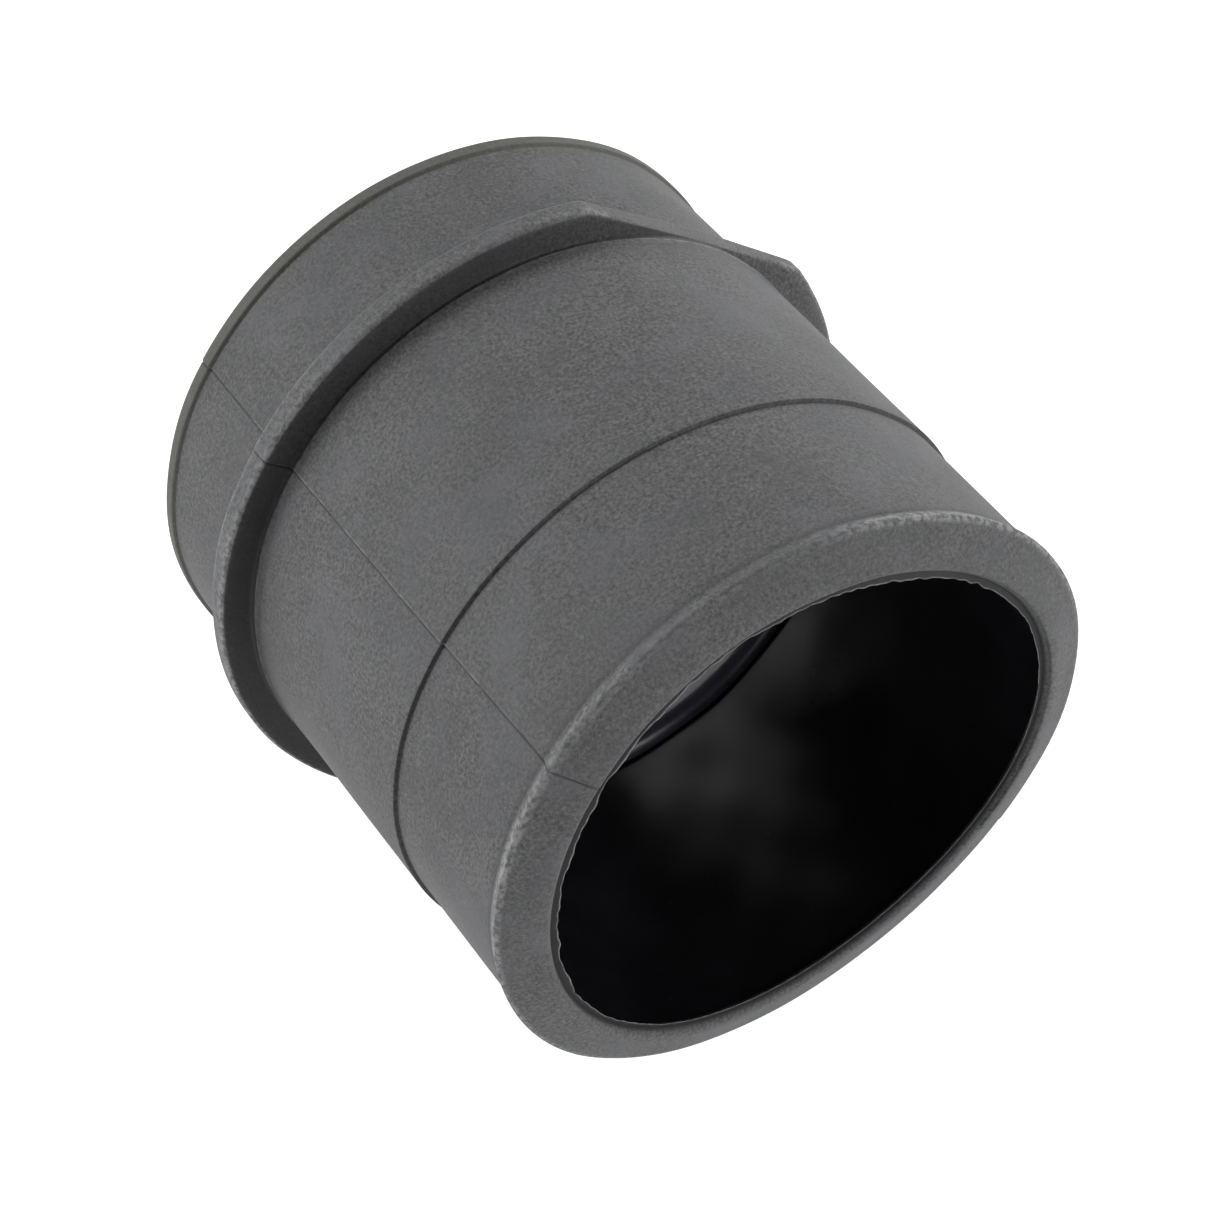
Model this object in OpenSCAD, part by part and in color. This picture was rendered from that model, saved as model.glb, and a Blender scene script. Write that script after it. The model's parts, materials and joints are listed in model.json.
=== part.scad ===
// Moulded rubber pipe coupling with its axis level.
// Two smooth sockets meet at a stop ring. Pipes go in from both ends and are
// held by hose clamps, which sit on the two plain seats of the outer sleeve.
// Each piece is drawn upright, with its back end at z = 0, and is then laid
// down so that the front socket opens towards -Y. The origin is the middle of
// the bore axis.

/* [Sleeve] */
// Length from end face to end face
overall_l = 63.6; // [60:0.1:70]
// Outer radius of the front section, at the step
front_r = 30.1; // [29.5:0.1:30.2]
// Outer radius of the front section, at the front bead
front_end_r = 29.6; // [29.2:0.1:29.9]
// Outer radius of the middle section, at the step
step_r = 30.5; // [30.3:0.1:30.8]
// Outer radius of the back section and of the rib's root
back_r = 31.05; // [30.6:0.05:31.2]
// Distance from the back end to the step
step_z = 44.4; // [40:0.1:50]

/* [Sockets] */
// Radius of both sockets, which is that of the pipe
bore_r = 25; // [23:0.5:25.5]
// Depth of the front socket, down to the stop ring
front_depth = 33.2; // [30:0.1:36]
// Depth of the back socket, down to the stop ring
back_depth = 22; // [18:0.1:24]
// Thickness of the smooth liner in each socket
liner_t = 1.5; // [1:0.1:2]
// Width of the sleeve's lip that covers the end of each liner
lip_w = 1; // [0.8:0.1:1.4]
// Rounding of the sleeve's inner corner at each mouth
mouth_round = 0.4; // [0.2:0.1:0.6]

/* [Stop ring] */
// How far the ring stands into the bore
stop_h = 1.7; // [1:0.1:3]
// Rounding of the ring's two inner edges
stop_round = 0.9; // [0.4:0.1:0.9]

/* [Rib] */
// Distance from the back end to the rib
rib_z = 15; // [13:0.1:18]
// Width of the rib
rib_w = 2.9; // [2:0.1:4]
// Height of the rib above the back section
rib_h = 3.1; // [2:0.1:4]
// Rounding of the rib's two outer edges
rib_round = 0.8; // [0.3:0.1:0.9]
// Direction of the rib's flat, from +X towards +Z
flat_angle = 56; // [0:1:360]

/* [Beads] */
// Width of the back bead
back_bead_w = 1.7; // [1.2:0.1:2.5]
// Height of the back bead above the back section
back_bead_h = 0.4; // [0.3:0.1:1]
// Radius of the front bead's crest
front_bead_r = 30.15; // [30:0.05:31.6]
// Distance from the front end face back to the crest
crest_l = 1.8; // [1:0.1:3]
// Rounding of the crest
crest_round = 0.3; // [0.2:0.1:0.5]
// Length of the slope behind the crest
bead_slope = 1.5; // [0.8:0.1:2]
// Width of the flat end face round the mouth, inside the sloping face
end_face_w = 1.4; // [1:0.1:2]

/* [Hidden] */
$fn = 96;
// Number of steps in each rounded edge
arc_steps = 8;
sleeve_bore_r = bore_r + liner_t;
rib_r = back_r + rib_h;
front_stop_z = overall_l - front_depth;
back_stop_z = back_depth;
bead_r = back_r + back_bead_h;
crest_z = overall_l - crest_l;
// The flat stands this far off the sleeve, so that it cuts the rib alone
flat_gap = 0.05;

// Points of an arc about [r, z] from one angle to another
function arc(r, z, radius, from, to) = [
    for (i = [0 : arc_steps])
        let (a = from + (to - from) * i / arc_steps)
            [r + radius * cos(a), z + radius * sin(a)]
];

// Lays an upright piece down about its middle
module lie_down() {
    translate([0, overall_l / 2, 0])
        rotate([90, 0, 0])
            children();
}

// Solid of revolution of the sleeve: bead, back seat, middle, step, front seat, bead
module sleeve_body() {
    corner = mouth_round;
    bead_round = back_bead_h;
    rotate_extrude()
        polygon(concat(
            arc(bore_r + corner, corner, corner, 180, 270),
            arc(bead_r - bead_round, bead_round, bead_round, -90, 0),
            [[bead_r, back_bead_w - back_bead_h]],
            [[back_r, back_bead_w]],
            [[back_r, rib_z + rib_w]],
            [[step_r, step_z]],
            [[front_r, step_z]],
            [[front_end_r, crest_z - bead_slope]],
            arc(front_bead_r - crest_round, crest_z, crest_round, -70, 70),
            [[bore_r + end_face_w, overall_l]],
            arc(bore_r + corner, overall_l - corner, corner, 90, 180),
            [[bore_r, overall_l - lip_w]],
            [[sleeve_bore_r, overall_l - lip_w]],
            [[sleeve_bore_r, lip_w]],
            [[bore_r, lip_w]]
        ));
}

// Ring of the rib, which starts inside the sleeve's wall
module rib_ring() {
    root_r = sleeve_bore_r + 1;
    top_z = rib_z + rib_w;
    rotate_extrude()
        polygon(concat(
            [[root_r, rib_z]],
            arc(rib_r - rib_round, rib_z + rib_round, rib_round, -90, 0),
            arc(rib_r - rib_round, top_z - rib_round, rib_round, 0, 90),
            [[root_r, top_z]]
        ));
}

// Block that takes the rib away on one side, down to the sleeve
module rib_flat_cut() {
    reach = 2 * rib_r;
    rotate([0, 0, flat_angle])
        translate([back_r + flat_gap, -reach / 2, rib_z - 1])
            cube([reach, reach, rib_w + 2]);
}

// Rubber sleeve with its rib, beads and two clamp seats
module outer_sleeve() {
    color("#4b4c4f")
        lie_down() {
            sleeve_body();
            difference() {
                rib_ring();
                rib_flat_cut();
            }
        }
}

// Plain tube between two heights
module liner_tube(low, high) {
    translate([0, 0, low])
        difference() {
            cylinder(r = sleeve_bore_r, h = high - low);
            translate([0, 0, -1])
                cylinder(r = bore_r, h = high - low + 2);
        }
}

// Smooth liner of the front socket
module front_liner() {
    color("#101013")
        lie_down()
            liner_tube(front_stop_z, overall_l - lip_w);
}

// Smooth liner of the back socket
module back_liner() {
    color("#101013")
        lie_down()
            liner_tube(lip_w, back_stop_z);
}

// Stiff ring between the liners, which the pipe ends butt against
module stop_ring() {
    ring_r = bore_r - stop_h;
    centre_r = ring_r + stop_round;
    color("#2b2c33")
        lie_down()
            rotate_extrude()
                polygon(concat(
                    [[sleeve_bore_r, back_stop_z]],
                    [[sleeve_bore_r, front_stop_z]],
                    arc(centre_r, front_stop_z - stop_round, stop_round, 90, 180),
                    arc(centre_r, back_stop_z + stop_round, stop_round, 180, 270)
                ));
}

outer_sleeve();
front_liner();
back_liner();
stop_ring();
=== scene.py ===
import json
import math

import bpy
import numpy as np
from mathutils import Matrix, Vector


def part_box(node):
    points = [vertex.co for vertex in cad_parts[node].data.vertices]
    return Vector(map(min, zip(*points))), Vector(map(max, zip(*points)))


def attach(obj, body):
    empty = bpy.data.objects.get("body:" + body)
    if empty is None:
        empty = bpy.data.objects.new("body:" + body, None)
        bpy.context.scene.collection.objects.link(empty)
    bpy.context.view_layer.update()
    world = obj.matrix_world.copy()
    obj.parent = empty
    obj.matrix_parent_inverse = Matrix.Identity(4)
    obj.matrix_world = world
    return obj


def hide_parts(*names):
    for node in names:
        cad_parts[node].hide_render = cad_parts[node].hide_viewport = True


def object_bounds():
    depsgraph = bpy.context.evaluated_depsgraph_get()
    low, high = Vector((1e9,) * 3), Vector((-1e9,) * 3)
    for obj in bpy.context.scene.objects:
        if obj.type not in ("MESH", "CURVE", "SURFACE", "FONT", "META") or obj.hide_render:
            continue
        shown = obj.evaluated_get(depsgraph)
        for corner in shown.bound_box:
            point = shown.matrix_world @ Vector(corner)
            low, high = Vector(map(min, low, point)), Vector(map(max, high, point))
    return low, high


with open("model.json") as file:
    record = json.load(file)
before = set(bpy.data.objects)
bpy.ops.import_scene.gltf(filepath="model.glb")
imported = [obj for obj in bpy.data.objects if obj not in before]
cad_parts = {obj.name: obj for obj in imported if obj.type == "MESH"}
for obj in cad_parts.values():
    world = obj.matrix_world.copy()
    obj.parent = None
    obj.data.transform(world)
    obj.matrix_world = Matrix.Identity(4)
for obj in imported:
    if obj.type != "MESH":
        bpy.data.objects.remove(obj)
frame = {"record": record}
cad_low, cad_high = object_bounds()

# Moulded rubber pipe coupling: a sleeve, two liners and a stop ring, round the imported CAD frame.
#
# Lengths are in mm until they reach a mesh. A place on the coupling is given by s, the distance
# from the back end along the bore axis, by r, the distance from that axis, and by phi, the angle
# round it from straight up towards +X.
MM = 0.001
mounts = {mount["name"]: mount for mount in frame["record"]["mounts"]}
sleeve_low, sleeve_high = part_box("outer_sleeve")
ring_low, ring_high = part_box("stop_ring")
LENGTH = (sleeve_high.y - sleeve_low.y) / MM
BORE_R = mounts["front_socket"]["dims"]["r_mm"]
RIB_R = sleeve_high.x / MM
LINER_R = ring_high.x / MM
RING_BACK = LENGTH / 2 - ring_high.y / MM
RING_FRONT = LENGTH / 2 - ring_low.y / MM

# Sleeve, from the back end to the front
BACK_R = 31.05
STEP_S = 44.4
STEP_R = 30.5
FRONT_R = 30.1
FRONT_END_R = 29.6
BACK_BEAD_R = 31.4
BACK_BEAD_W = 1.7
RIB_BACK = 15.0
RIB_FRONT = 17.9
WITNESS_S = RIB_FRONT + 0.52
FRONT_BEAD_R = 30.15
CREST_S = LENGTH - 1.8
SMALL_STEP = 0.25  # a point this close to a small step is only moved along r

# Both mouths: each has a lip in front of its liner, and torn flash on the lip
LIP = 1.0
FIN_R = BORE_R - 0.42
FLASH_DEPTH = 0.8
TEAR_ALONG = 0.08
TEAR_INWARDS = 0.14

# Points with a larger r than these are on the sleeve's moulded skin, and on its outside
SKIN_R = BORE_R + 0.6
OUTSIDE_R = BORE_R + 3

# Stop ring
RING_R = 23.3
RING_ROUNDING = 1.4

# The rib's flat
FLAT_PHI = math.radians(34.5)
FLAT_SHARE = 0.05
CORNER_SOFTNESS = 0.06

# Mould marks
PARTING_PHI = math.radians(-56)
PARTING_W = 0.1
PARTING_H = 0.09
RIDGE_OFFSET = 0.1
GROOVE_OFFSET = 0.08
MISMATCH = 0.035
MISMATCH_W = 0.09
WAVINESS = 0.035
LINER_WAVINESS = 0.05

# The front mouth has sagged out of round, fading to nothing at the back
SAG_START = 6.0
OVAL = 1.1
OVAL_PHI = math.radians(61.5)
PINCH = 0.21
PINCH_PHI = math.radians(-40)
WARP = 0.44
WARP_PHI = math.radians(77)

# Angles round each mesh, and the usual step along the straight stretches of its outline
SLEEVE_TURN = 640
LINER_TURN = 360
SLEEVE_SPACING = 0.6
LINER_SPACING = 0.9
RING_SPACING = 0.8

# Extra angles across each parting line, and the least angle that is kept between two
SEAM_REACH = 0.55
SEAM_COUNT = 23
LEAST_ANGLE = 0.0008

rng = np.random.default_rng(7)


def rounded_loop(corners, spacing):
    """Closed outline through corners (s, r, radius), each rounded to its own radius."""
    arcs = []
    for i, (s, r, radius) in enumerate(corners):
        here = np.array((s, r))
        to_last = np.array(corners[i - 1][:2]) - here
        to_next = np.array(corners[(i + 1) % len(corners)][:2]) - here
        to_last /= np.linalg.norm(to_last)
        to_next /= np.linalg.norm(to_next)
        opening = math.acos(np.clip(to_last @ to_next, -1, 1))
        if radius == 0:
            arcs.append([here])
            continue
        middle = (to_last + to_next) / np.linalg.norm(to_last + to_next)
        centre = here + middle * radius / math.sin(opening / 2)
        start = here + to_last * radius / math.tan(opening / 2)
        end = here + to_next * radius / math.tan(opening / 2)
        steps = max(2, math.ceil((math.pi - opening) / math.radians(13)))
        swing = [start + (end - start) * k / steps - centre for k in range(steps + 1)]
        arcs.append([centre + radius * arm / np.linalg.norm(arm) for arm in swing])
    loop = []
    for arc, following in zip(arcs, arcs[1:] + arcs[:1]):
        loop += arc
        gap = following[0] - arc[-1]
        count = max(1, round(np.linalg.norm(gap) / spacing))
        loop += [arc[-1] + gap * k / count for k in range(1, count)]
    return np.array(loop)


def turn_angles(count):
    """Angles round the bore, closer together next to the two parting lines."""
    even = np.arange(count) * 2 * math.pi / count
    near = np.linspace(-SEAM_REACH, SEAM_REACH, SEAM_COUNT) / BACK_R
    fine = np.concatenate([PARTING_PHI + near, PARTING_PHI + math.pi + near])
    angles = np.sort(np.concatenate([even, fine % (2 * math.pi)]))
    keep = np.diff(angles, append=angles[0] + 2 * math.pi) > LEAST_ANGLE
    return angles[keep]


def waves(points, wavelength, count):
    """Smooth random height at each point, roughly from -1 to 1."""
    total = np.zeros(points.shape[:-1])
    for _ in range(count):
        direction = rng.normal(size=points.shape[-1])
        direction /= np.linalg.norm(direction)
        length = wavelength * rng.uniform(0.7, 1.5)
        total += np.sin(points @ direction * 2 * math.pi / length + rng.uniform(0, 2 * math.pi))
    return total / math.sqrt(count)


def round_points(s, r, phi):
    """Points in mm, in the row frame."""
    along = LENGTH / 2 - s + 0 * phi
    return np.stack([r * np.sin(phi), along, r * np.cos(phi)], axis=-1)


def sagged(s, r, phi):
    """The place that a point of the round moulding has moved to."""
    share = np.clip((s - SAG_START) / (LENGTH - SAG_START), 0, 1) ** 2
    oval = OVAL * np.cos(2 * (phi - OVAL_PHI))
    pinch = PINCH * np.cos(3 * (phi - PINCH_PHI))
    warp = WARP * np.cos(2 * (phi - WARP_PHI))
    return s + share * warp, r + share * (oval + pinch)


def outward(loop):
    """Unit normals of a closed outline, pointing out of the material, as columns ds and dr."""
    along = np.roll(loop, -1, axis=0) - np.roll(loop, 1, axis=0)
    along /= np.linalg.norm(along, axis=1, keepdims=True)
    return -along[:, 1:], along[:, :1]


def rib_share(phi):
    """Height of the rib as a share of its full height: 1 all round, and FLAT_SHARE amid the flat.

    The rib ends at the flat or at its own radius, whichever is lower, with a soft corner between.
    """
    across = np.cos(phi - FLAT_PHI)
    chord = np.where(across > 0.5, BACK_R / np.maximum(across, 0.5), 2 * RIB_R)
    softened = -CORNER_SOFTNESS * np.logaddexp(-chord / CORNER_SOFTNESS, -RIB_R / CORNER_SOFTNESS)
    return FLAT_SHARE + (1 - FLAT_SHARE) * np.clip((softened - BACK_R) / (RIB_R - BACK_R), 0, 1)


def swept(name, s, r, phi, marks=None):
    """Ring-shaped mesh through the points (s, r) of an outline at each angle, with marks on them."""
    s, r = sagged(s, r, phi[None, :])
    places = round_points(s, r, phi[None, :]) * MM
    rows, columns = r.shape
    index = np.arange(rows * columns).reshape(rows, columns)
    ahead = np.roll(index, -1, axis=0)
    beside = np.roll(index, -1, axis=1)
    corner = np.roll(ahead, -1, axis=1)
    faces = np.stack([index, beside, corner, ahead], axis=-1).reshape(-1, 4)
    mesh = bpy.data.meshes.new(name)
    mesh.from_pydata(places.reshape(-1, 3).tolist(), [], faces.tolist())
    mesh.update()
    mesh.shade_smooth()
    for label, values in (marks or {}).items():
        layer = mesh.attributes.new(label, "FLOAT", "POINT")
        layer.data.foreach_set("value", values.astype(np.float32).ravel())
    piece = bpy.data.objects.new(name, mesh)
    bpy.context.scene.collection.objects.link(piece)
    return piece


def bump_line(distance, width):
    """1 on a line, fading to nothing beside it."""
    return np.exp(-((distance / width) ** 2))


def build_sleeve():
    """The outer moulding, with its seam, flash, worn edges with painted highlight, and painted shade in its
    corners.
    """
    outside = [
        (0, BACK_BEAD_R, 0.45),
        (BACK_BEAD_W - 0.25, BACK_BEAD_R, 0.3),
        (BACK_BEAD_W, BACK_R, 0.12),
        (RIB_BACK, BACK_R, 0.25),
        (RIB_BACK + 0.15, RIB_R, 0.95),
        (RIB_FRONT - 0.1, RIB_R, 0.6),
        (RIB_FRONT, BACK_R, 0.3),
        (WITNESS_S - 0.08, BACK_R, 0),
        (WITNESS_S, BACK_R + 0.07, 0),
        (WITNESS_S + 0.08, BACK_R, 0),
        (STEP_S, STEP_R, 0.1),
        (STEP_S + 0.02, FRONT_R, 0.06),
        (STEP_S + 0.3, FRONT_R, 0),
        (CREST_S - 1.5, FRONT_END_R, 0.6),
        (CREST_S, FRONT_BEAD_R, 0.3),
        (CREST_S + 0.3, FRONT_BEAD_R - 0.68, 0),
        (LENGTH - 0.15, BORE_R + 1.4, 2),
    ]
    # From an end face inwards, with the depth below that face in place of s
    mouth = [
        (0, BORE_R + 0.7, 0.3),
        (0.3, BORE_R + 0.4, 0),
        (0.7, BORE_R + 0.2, 0.05),
        (0.5, FIN_R + 0.13, 0),
        (0.44, FIN_R, 0),
        (0.54, FIN_R + 0.03, 0),
        (0.7, BORE_R, 0),
        (LIP, BORE_R, 0),
        (LIP, LINER_R, 0),
    ]
    front_mouth = [(LENGTH - depth, radius, rounding) for depth, radius, rounding in mouth]
    loop = rounded_loop(outside + front_mouth + mouth[::-1], SLEEVE_SPACING)
    phi = turn_angles(SLEEVE_TURN)
    s = loop[:, :1]
    r = loop[:, 1:] + 0 * phi[None, :]
    skin = (r > SKIN_R) & (np.abs(r - LINER_R) > 0.001)
    outer = r > OUTSIDE_R
    on_rib = outer & (s > RIB_BACK - 0.05) & (s < RIB_FRONT + 0.05)
    r = np.where(on_rib & (r > BACK_R), BACK_R + (r - BACK_R) * rib_share(phi)[None, :], r)
    normal_s, normal_r = outward(loop)
    small_step = (np.abs(s - STEP_S) < SMALL_STEP) | (np.abs(s - BACK_BEAD_W) < SMALL_STEP)
    normal_s = np.where(small_step, 0, normal_s)
    normal_r = np.where(small_step, 1, normal_r)

    # Seam of the two mould halves, which did not quite meet: a groove with a broken ridge beside it
    off_seam = r * np.sin(phi - PARTING_PHI)[None, :]
    whole = ridge_left(s)
    ridge = bump_line(off_seam - RIDGE_OFFSET, PARTING_W) * whole * skin
    groove = bump_line(off_seam + GROOVE_OFFSET, PARTING_W) * (1 - 0.3 * whole) * skin
    lift = PARTING_H * (ridge - groove) + skin * MISMATCH * np.tanh(off_seam / MISMATCH_W)

    # Slight waviness of the moulding
    lift = lift + skin * WAVINESS * waves(round_points(s, r, phi[None, :]), 14.0, 14)

    # Torn flash round both mouths
    edge = round_points(0, BORE_R, phi)
    ragged = (0.4 * waves(edge, 0.9, 8) + 0.6 * waves(edge, 4.0, 5))[None, :]
    fin = np.clip((BORE_R - r) / (BORE_R - FIN_R), 0, 1) * (r < LINER_R)
    tip = r < FIN_R + 0.05
    # Painted shade: the recess between each mouth's lip and its flash tip is marked to be coloured
    # near-black
    gap = (np.abs(s - LENGTH / 2) > LENGTH / 2 - FLASH_DEPTH) & (r < BORE_R + 0.3) & ~tip
    marks = {
        # Wear and painted highlight: the rib's edges and top and the front bead's back slope are marked to
        # turn pale grey
        "wear_and_highlight": worn_and_lit_edges(s, r) * np.clip(0.65 + 0.45 * waves(edge, 25.0, 5), 0.15, 1)[None, :],
        "flash": np.clip(0.6 * ridge + tip + 0.7 * outer * bump_line(s - WITNESS_S, 0.08), 0, 1),
        # Painted shade: the seam's groove, the recess behind each mouth's flash tip, the rib's front face
        # and the feet of the rises are marked to be coloured near-black
        "painted_shade": np.clip(0.7 * groove + gap + corner_painted_shade(s, r, phi[None, :]), 0, 1),
        "tint": (r > BACK_R - 1) * (s < BACK_BEAD_W) * 1.0,
    }
    s = s + normal_s * lift + fin * TEAR_ALONG * ragged
    r = r + normal_r * lift - fin * TEAR_INWARDS * ragged
    return swept("sleeve", s, r, phi, marks)


def ridge_left(s):
    """Share of the seam's ridge that is left: broken up all along, and less near both ends."""
    broken = 0.7 + 0.5 * waves(s, 6.0, 6)[:, None]
    front_loss = 1.2 * np.clip((s - 52) / 8, 0, 1)
    return np.clip(broken - front_loss, 0, 1) * np.clip((s - 4) / 14, 0.2, 1)


def corner_painted_shade(s, r, phi):
    """Painted shade on the rib's front face, most of it on the left, and at the foot of each rise,
    spreading forwards from the rib like its shadow.
    """
    outer = r > OUTSIDE_R
    rib_face = (np.abs(s - RIB_FRONT) < 0.2) * np.clip(0.65 - 0.7 * np.sin(phi), 0, 0.75)
    rib_foot = 0.4 * np.exp(-(s - RIB_FRONT) / 1.3) * (s > RIB_FRONT + 0.2)
    rib_foot = rib_foot * (1 - bump_line(s - WITNESS_S, 0.05))
    step_foot = 0.2 * bump_line(s - STEP_S - 0.05, 0.12)
    bead_foot = 0.35 * bump_line(s - CREST_S + 1.6, 0.3)
    return outer * (rib_face + rib_foot + step_foot + bead_foot)


def worn_and_lit_edges(s, r):
    """How worn each point is, with painted highlight: the front bead's back slope up to its crest, both
    edges of the rib and the rib's top.
    """
    crest = np.clip((s - CREST_S + 1.5) / 0.6, 0, 1) * (s < CREST_S + 0.15) * (r > FRONT_END_R)
    back_edge = bump_line(s - RIB_BACK - 0.35, 0.35)
    front_edge = bump_line(s - RIB_FRONT + 0.4, 0.3)
    rib = 0.9 * (back_edge + front_edge) * (r > RIB_R - 1.0) + 0.3 * (r > RIB_R - 0.3)
    return np.clip(crest + rib, 0, 1)


def build_liner(name, low, high):
    """Slightly wavy tube that lines one socket."""
    corners = [
        (low, LINER_R, 0),
        (high, LINER_R, 0),
        (high, BORE_R, 0.05),
        (low, BORE_R, 0.05),
    ]
    loop = rounded_loop(corners, LINER_SPACING)
    phi = turn_angles(LINER_TURN)
    s = loop[:, :1]
    r = loop[:, 1:] + 0 * phi[None, :]
    inner = r < LINER_R - 0.1
    r = r + inner * LINER_WAVINESS * waves(round_points(s, r, phi[None, :]), 9.0, 12)
    return swept(name, s, r, phi)


def build_ring():
    """Stiff ring that stops the pipe ends."""
    corners = [
        (RING_BACK, LINER_R, 0),
        (RING_FRONT, LINER_R, 0),
        (RING_FRONT, RING_R, RING_ROUNDING),
        (RING_BACK, RING_R, RING_ROUNDING),
    ]
    loop = rounded_loop(corners, RING_SPACING)
    phi = turn_angles(LINER_TURN)
    return swept("stop_ring_moulding", loop[:, :1], loop[:, 1:] + 0 * phi[None, :], phi)


class Nodes:
    """Short way to write a node material."""

    def __init__(self, name):
        self.material = bpy.data.materials.new(name)
        self.material.use_nodes = True
        self.tree = self.material.node_tree
        self.shader = self.tree.nodes["Principled BSDF"]

    def add(self, kind, settings=None, **inputs):
        node = self.tree.nodes.new("ShaderNode" + kind)
        for key, value in (settings or {}).items():
            setattr(node, key, value)
        for key, value in inputs.items():
            self.feed(node, key.replace("_", " "), value)
        return node

    def feed(self, node, socket, value):
        target = node.inputs[socket]
        if isinstance(value, bpy.types.NodeSocket):
            self.tree.links.new(value, target)
        else:
            target.default_value = value

    def noise(self, scale, detail=2.0, roughness=0.5):
        inputs = {"Scale": scale, "Detail": detail, "Roughness": roughness}
        return self.add("TexNoise", Vector=self.places(), **inputs).outputs["Fac"]

    def places(self):
        return self.add("TexCoord").outputs["Object"]

    def remap(self, value, low, high, to_low, to_high):
        node = self.add("MapRange", Value=value)
        node.inputs["From Min"].default_value = low
        node.inputs["From Max"].default_value = high
        node.inputs["To Min"].default_value = to_low
        node.inputs["To Max"].default_value = to_high
        return node.outputs["Result"]

    def times(self, a, b):
        node = self.add("Math", {"operation": "MULTIPLY"})
        self.feed(node, 0, a)
        self.feed(node, 1, b)
        return node.outputs[0]

    def plus(self, a, b):
        node = self.add("Math", {"operation": "ADD"})
        self.feed(node, 0, a)
        self.feed(node, 1, b)
        return node.outputs[0]

    def blend(self, amount, a, b):
        """Colour from a to b. A colour mix takes them at inputs 6 and 7 and gives output 2."""
        node = self.add("Mix", {"data_type": "RGBA"})
        self.feed(node, 0, amount)
        self.feed(node, 6, a)
        self.feed(node, 7, b)
        return node.outputs[2]

    def mark(self, label):
        return self.add("Attribute", {"attribute_name": label}).outputs["Fac"]

    def bump(self, height, distance, strength, under=None):
        inputs = {"Height": height, "Distance": distance, "Strength": strength}
        if under is not None:
            inputs["Normal"] = under
        return self.add("Bump", **inputs).outputs["Normal"]


def sleeve_rubber():
    """Matte grey-black rubber: fine grain and dusty bloom, with the sleeve's marks over them, among them
    painted highlight and painted shade.
    """
    nodes = Nodes("sleeve_rubber_grain")
    grain = nodes.noise(3000, 3.0, 0.75)
    speck = nodes.noise(2300, 1.0, 0.4)
    cloud = nodes.noise(120, 3.0, 0.55)
    smear = nodes.noise(45, 2.0, 0.5)
    bloom = nodes.remap(nodes.noise(170, 2.0, 0.5), 0.48, 0.68, 0, 0.35)
    light_grain = nodes.remap(grain, 0.3, 0.7, 0, 1)
    tone = nodes.blend(light_grain, (0.02, 0.0205, 0.021, 1), (0.132, 0.1325, 0.133, 1))
    tone = nodes.blend(bloom, tone, (0.071, 0.072, 0.083, 1))
    tone = nodes.blend(nodes.remap(smear, 0.35, 0.65, 0, 0.3), tone, (0.062, 0.063, 0.064, 1))
    dust = nodes.noise(95, 4.0, 0.62)
    tone = nodes.blend(nodes.remap(dust, 0.52, 0.7, 0, 0.5), tone, (0.103, 0.103, 0.116, 1))
    tone = nodes.blend(nodes.remap(dust, 0.46, 0.32, 0, 0.35), tone, (0.052, 0.052, 0.051, 1))
    tone = nodes.blend(nodes.remap(speck, 0.66, 0.76, 0, 0.3), tone, (0.16, 0.162, 0.165, 1))
    tone = nodes.blend(nodes.times(nodes.mark("tint"), 0.5), tone, (0.08, 0.084, 0.066, 1))
    # Wear and painted highlight: pale grey on the rib's edges and top and on the front bead's back slope,
    # broken by noise
    rubbed_and_lit = nodes.times(nodes.mark("wear_and_highlight"), nodes.remap(nodes.noise(1800, 3.0, 0.6), 0.42, 0.6, 0.1, 1))
    tone = nodes.blend(nodes.times(rubbed_and_lit, 0.9), tone, (0.24, 0.242, 0.246, 1))
    broken = nodes.times(nodes.mark("flash"), nodes.remap(nodes.noise(1300, 2.0, 0.6), 0.38, 0.58, 0.25, 1))
    tone = nodes.blend(nodes.times(broken, 0.7), tone, (0.34, 0.34, 0.325, 1))
    # Painted shade: near-black in the seam's groove, behind the flash tips, on the rib's front face and at
    # the feet of the rises
    tone = nodes.blend(nodes.times(nodes.mark("painted_shade"), 0.95), tone, (0.008, 0.008, 0.008, 1))
    nodes.feed(nodes.shader, "Base Color", tone)
    nodes.feed(nodes.shader, "Roughness", nodes.remap(nodes.plus(cloud, grain), 0.6, 1.4, 0.58, 0.78))
    nodes.shader.inputs["Specular IOR Level"].default_value = 0.35
    soft = nodes.bump(cloud, 0.0004, 0.25)
    nodes.feed(nodes.shader, "Normal", nodes.bump(grain, 0.00012, 0.45, soft))
    return nodes.material


def liner_rubber(name, roughness, shine):
    """Smooth black rubber, a little smudged."""
    nodes = Nodes(name)
    smudge = nodes.noise(90, 4.0, 0.6)
    dust = nodes.noise(1700, 2.0, 0.5)
    smeared = nodes.remap(smudge, 0.35, 0.7, 0, 1)
    tone = nodes.blend(smeared, (0.004, 0.004, 0.005, 1), (0.008, 0.008, 0.01, 1))
    tone = nodes.blend(nodes.remap(dust, 0.7, 0.78, 0, 0.4), tone, (0.03, 0.03, 0.03, 1))
    nodes.feed(nodes.shader, "Base Color", tone)
    nodes.feed(nodes.shader, "Roughness", nodes.remap(smudge, 0.3, 0.7, roughness, roughness + 0.06))
    nodes.shader.inputs["Specular IOR Level"].default_value = shine
    nodes.feed(nodes.shader, "Normal", nodes.bump(smudge, 0.0001, 0.06))
    return nodes.material


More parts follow.
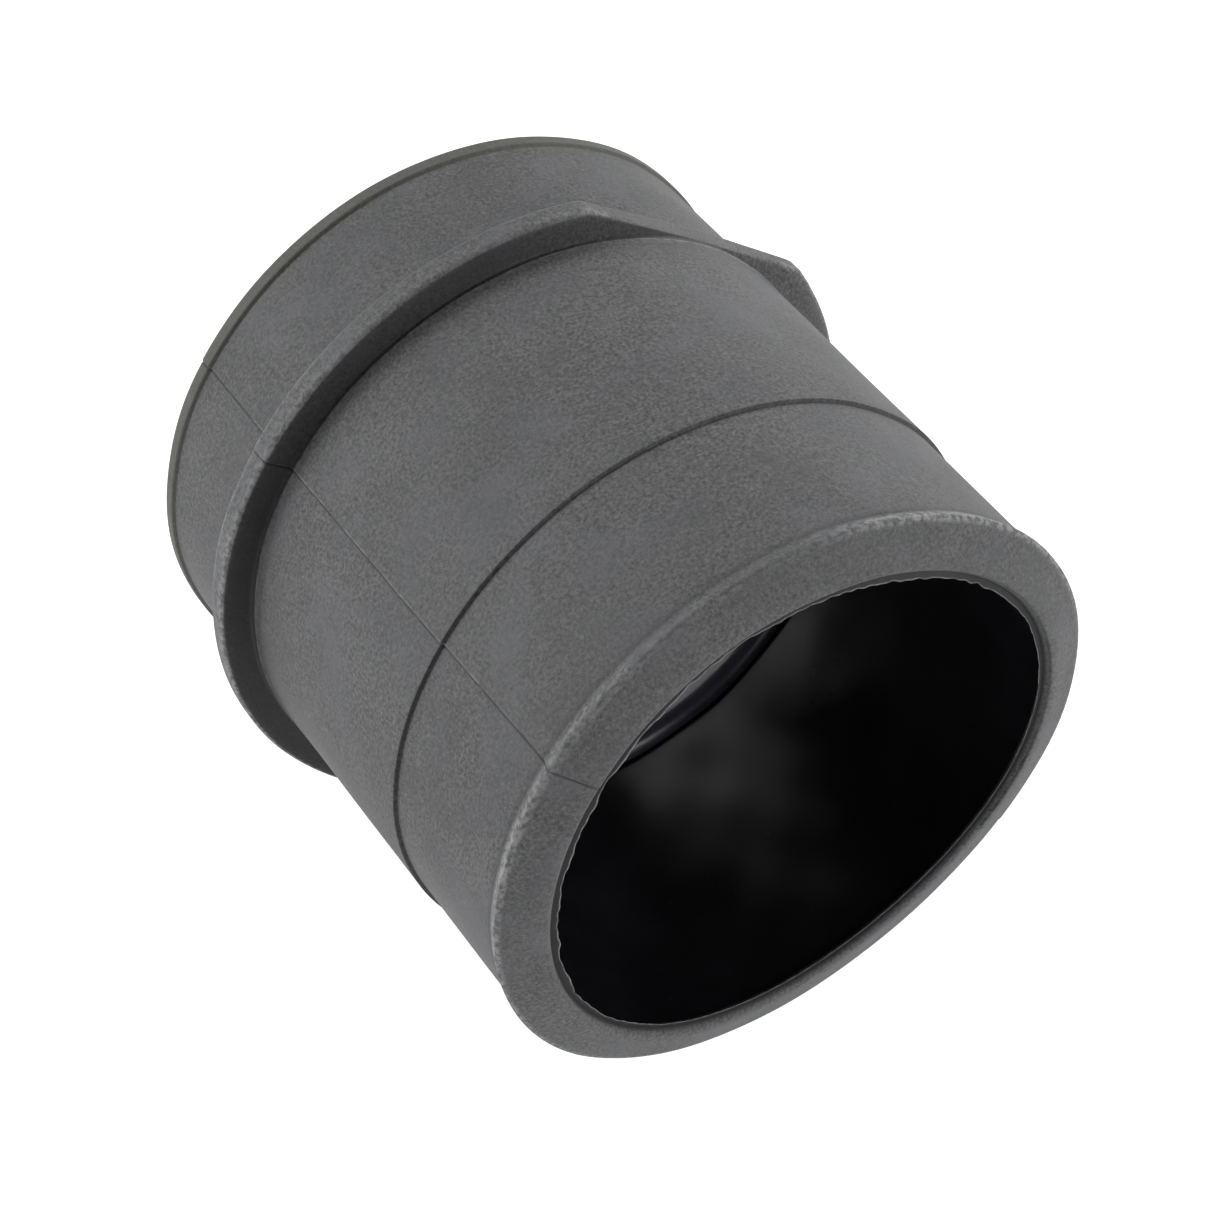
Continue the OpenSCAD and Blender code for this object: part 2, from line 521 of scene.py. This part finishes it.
def ring_plastic():
    """Bluish satin plastic."""
    nodes = Nodes("ring_plastic_satin")
    haze = nodes.noise(240, 3.0, 0.55)
    fine = nodes.noise(2600, 2.0, 0.5)
    hazed = nodes.remap(haze, 0.35, 0.65, 0, 1)
    tone = nodes.blend(hazed, (0.03, 0.03, 0.042, 1), (0.045, 0.045, 0.062, 1))
    nodes.feed(nodes.shader, "Base Color", tone)
    nodes.feed(nodes.shader, "Roughness", nodes.remap(haze, 0.3, 0.7, 0.26, 0.36))
    nodes.feed(nodes.shader, "Normal", nodes.bump(fine, 0.00003, 0.2))
    return nodes.material


def floor_paint():
    """White floor that gives off most of its own light, so that it shows evenly white."""
    nodes = Nodes("floor_paint")
    tone = nodes.blend(nodes.noise(6, 2.0, 0.5), (0.38, 0.38, 0.38, 1), (0.4, 0.4, 0.4, 1))
    nodes.feed(nodes.shader, "Base Color", tone)
    nodes.shader.inputs["Roughness"].default_value = 0.9
    nodes.shader.inputs["Emission Color"].default_value = (1, 1, 1, 1)
    nodes.shader.inputs["Emission Strength"].default_value = 0.84
    return nodes.material


def dress(piece, node, material):
    """Gives a piece its material, hangs it under the root body and hides the CAD node that it replaces."""
    piece.data.materials.append(material)
    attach(piece, "root")
    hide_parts(node)


front_gloss = liner_rubber("front_liner_gloss", 0.27, 0.14)
back_gloss = liner_rubber("back_liner_satin", 0.5, 0.05)
dress(build_sleeve(), "outer_sleeve", sleeve_rubber())
dress(build_liner("front_liner_tube", RING_FRONT, LENGTH - LIP), "front_liner", front_gloss)
dress(build_liner("back_liner_tube", LIP, RING_BACK), "back_liner", back_gloss)
dress(build_ring(), "stop_ring", ring_plastic())

# Floor, lamps and camera are placed in metres
FLOOR_HALF = 3.0
floor_z = cad_low.z
floor_mesh = bpy.data.meshes.new("floor")
floor_corners = [(x * FLOOR_HALF, y * FLOOR_HALF, floor_z) for x, y in ((-1, -1), (1, -1), (1, 1), (-1, 1))]
floor_mesh.from_pydata(floor_corners, [], [(0, 1, 2, 3)])
floor = bpy.data.objects.new("floor", floor_mesh)
bpy.context.scene.collection.objects.link(floor)
floor_mesh.materials.append(floor_paint())


def aim(thing, target):
    """Turns a camera or lamp so that it looks at the target."""
    thing.rotation_euler = (Vector(target) - thing.location).to_track_quat("-Z", "Y").to_euler()


def soft_box(name, direction, distance, width, height, power):
    """Rectangular lamp that shines on the coupling from a direction."""
    lamp = bpy.data.lights.new(name, "AREA")
    lamp.shape = "RECTANGLE"
    lamp.size = width
    lamp.size_y = height
    lamp.energy = power
    box = bpy.data.objects.new(name, lamp)
    box.location = Vector(direction).normalized() * distance
    bpy.context.scene.collection.objects.link(box)
    aim(box, (0, 0, 0))


soft_box("top_box", (-0.3, 0.52, 0.8), 0.7, 0.9, 0.5, 4.3)
soft_box("left_box", (-0.85, 0.45, 0.38), 0.7, 0.4, 0.5, 3.0)
soft_box("right_box", (0.85, 0.3, 0.45), 0.7, 0.4, 0.5, 3.7)
soft_box("mouth_box", (0.5, -0.85, 0.28), 0.6, 0.4, 0.3, 2.5)

world = bpy.data.worlds.new("studio")
bpy.context.scene.world = world
world.use_nodes = True
world.node_tree.nodes["Background"].inputs["Color"].default_value = (1, 1, 1, 1)
world.node_tree.nodes["Background"].inputs["Strength"].default_value = 0.06

# Camera
CAMERA_AZIMUTH = math.radians(-31.1)
CAMERA_ELEVATION = math.radians(43.5)
CAMERA_DISTANCE = 0.3024
CAMERA_LENS = 97.9
CAMERA_TARGET = Vector((-3.95, -4.98, 4.73)) * MM
camera_data = bpy.data.cameras.new("camera")
camera_data.lens = CAMERA_LENS
camera_data.sensor_width = 36
camera_data.clip_start = 0.01
camera = bpy.data.objects.new("camera", camera_data)
camera_back = Vector((
    math.sin(CAMERA_AZIMUTH) * math.cos(CAMERA_ELEVATION),
    -math.cos(CAMERA_AZIMUTH) * math.cos(CAMERA_ELEVATION),
    math.sin(CAMERA_ELEVATION),
))
camera.location = CAMERA_TARGET + camera_back * CAMERA_DISTANCE
bpy.context.scene.collection.objects.link(camera)
aim(camera, CAMERA_TARGET)
bpy.context.scene.camera = camera
bpy.context.scene.view_settings.view_transform = "Standard"
